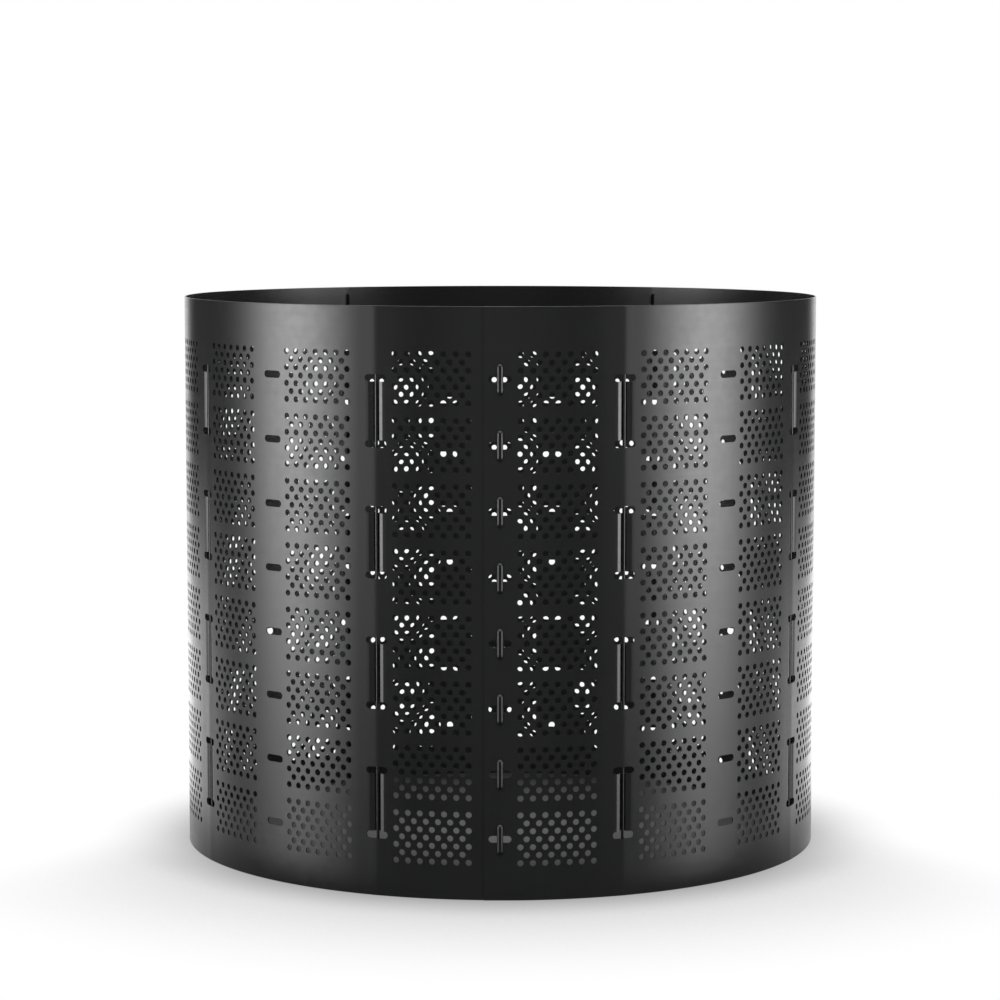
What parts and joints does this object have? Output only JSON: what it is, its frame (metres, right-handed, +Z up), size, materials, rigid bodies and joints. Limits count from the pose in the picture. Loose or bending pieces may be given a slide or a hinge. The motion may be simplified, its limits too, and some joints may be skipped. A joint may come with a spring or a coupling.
{
  "type": "compost bin",
  "caption": "Open round compost bin: a slotted plastic sheet rolled into a ring, lapped and locked with quarter-turn keys, and stiffened by rods threaded through its slots.",
  "frame": {"origin": "centre of the ring on the ground", "axes": "+Z up, the lapped and keyed column faces -Y, +X to the right seen from the front"},
  "size_m": [1.0567, 1.0614, 0.914],
  "materials": {
    "sheet_plastic": "black polyethylene sheet with a satin sheen",
    "key_plastic": "moulded black plastic, semi-gloss",
    "rod_plastic": "smooth black rod, glossy"
  },
  "bodies": {
    "sheet": {"wall_sheet": "sheet_plastic"},
    "lock_key_1": {"lock_key_1": "key_plastic"},
    "lock_key_2": {"lock_key_2": "key_plastic"},
    "lock_key_3": {"lock_key_3": "key_plastic"},
    "lock_key_4": {"lock_key_4": "key_plastic"},
    "lock_key_5": {"lock_key_5": "key_plastic"},
    "lock_key_6": {"lock_key_6": "key_plastic"},
    "lock_key_7": {"lock_key_7": "key_plastic"},
    "lock_key_8": {"lock_key_8": "key_plastic"},
    "stay_rod_1": {"stay_rod_1": "rod_plastic"},
    "stay_rod_2": {"stay_rod_2": "rod_plastic"},
    "stay_rod_3": {"stay_rod_3": "rod_plastic"},
    "stay_rod_4": {"stay_rod_4": "rod_plastic"},
    "stay_rod_5": {"stay_rod_5": "rod_plastic"},
    "stay_rod_6": {"stay_rod_6": "rod_plastic"},
    "stay_rod_7": {"stay_rod_7": "rod_plastic"},
    "stay_rod_8": {"stay_rod_8": "rod_plastic"}
  },
  "joints": [
    {"name": "lock_key_1_turn", "type": "hinge", "parent": "sheet", "child": "lock_key_1", "pos_m": [0, -0.52683, 0.8038], "axis": [0, -1, 0], "range_deg": [0, 90]},
    {"name": "lock_key_2_turn", "type": "hinge", "parent": "sheet", "child": "lock_key_2", "pos_m": [0, -0.52683, 0.7026], "axis": [0, -1, 0], "range_deg": [0, 90]},
    {"name": "lock_key_3_turn", "type": "hinge", "parent": "sheet", "child": "lock_key_3", "pos_m": [0, -0.52683, 0.6014], "axis": [0, -1, 0], "range_deg": [0, 90]},
    {"name": "lock_key_4_turn", "type": "hinge", "parent": "sheet", "child": "lock_key_4", "pos_m": [0, -0.52683, 0.5002], "axis": [0, -1, 0], "range_deg": [0, 90]},
    {"name": "lock_key_5_turn", "type": "hinge", "parent": "sheet", "child": "lock_key_5", "pos_m": [0, -0.52683, 0.399], "axis": [0, -1, 0], "range_deg": [0, 90]},
    {"name": "lock_key_6_turn", "type": "hinge", "parent": "sheet", "child": "lock_key_6", "pos_m": [0, -0.52683, 0.2978], "axis": [0, -1, 0], "range_deg": [0, 90]},
    {"name": "lock_key_7_turn", "type": "hinge", "parent": "sheet", "child": "lock_key_7", "pos_m": [0, -0.52683, 0.1966], "axis": [0, -1, 0], "range_deg": [0, 90]},
    {"name": "lock_key_8_turn", "type": "hinge", "parent": "sheet", "child": "lock_key_8", "pos_m": [0, -0.52683, 0.0954], "axis": [0, -1, 0], "range_deg": [0, 90]},
    {"name": "stay_rod_1_lift", "type": "slide", "parent": "sheet", "child": "stay_rod_1", "axis": [0, 0, 1], "range_m": [0, 0.92]},
    {"name": "stay_rod_2_lift", "type": "slide", "parent": "sheet", "child": "stay_rod_2", "axis": [0, 0, 1], "range_m": [0, 0.92]},
    {"name": "stay_rod_3_lift", "type": "slide", "parent": "sheet", "child": "stay_rod_3", "axis": [0, 0, 1], "range_m": [0, 0.92]},
    {"name": "stay_rod_4_lift", "type": "slide", "parent": "sheet", "child": "stay_rod_4", "axis": [0, 0, 1], "range_m": [0, 0.92]},
    {"name": "stay_rod_5_lift", "type": "slide", "parent": "sheet", "child": "stay_rod_5", "axis": [0, 0, 1], "range_m": [0, 0.92]},
    {"name": "stay_rod_6_lift", "type": "slide", "parent": "sheet", "child": "stay_rod_6", "axis": [0, 0, 1], "range_m": [0, 0.92]},
    {"name": "stay_rod_7_lift", "type": "slide", "parent": "sheet", "child": "stay_rod_7", "axis": [0, 0, 1], "range_m": [0, 0.92]},
    {"name": "stay_rod_8_lift", "type": "slide", "parent": "sheet", "child": "stay_rod_8", "axis": [0, 0, 1], "range_m": [0, 0.92]}
  ]
}
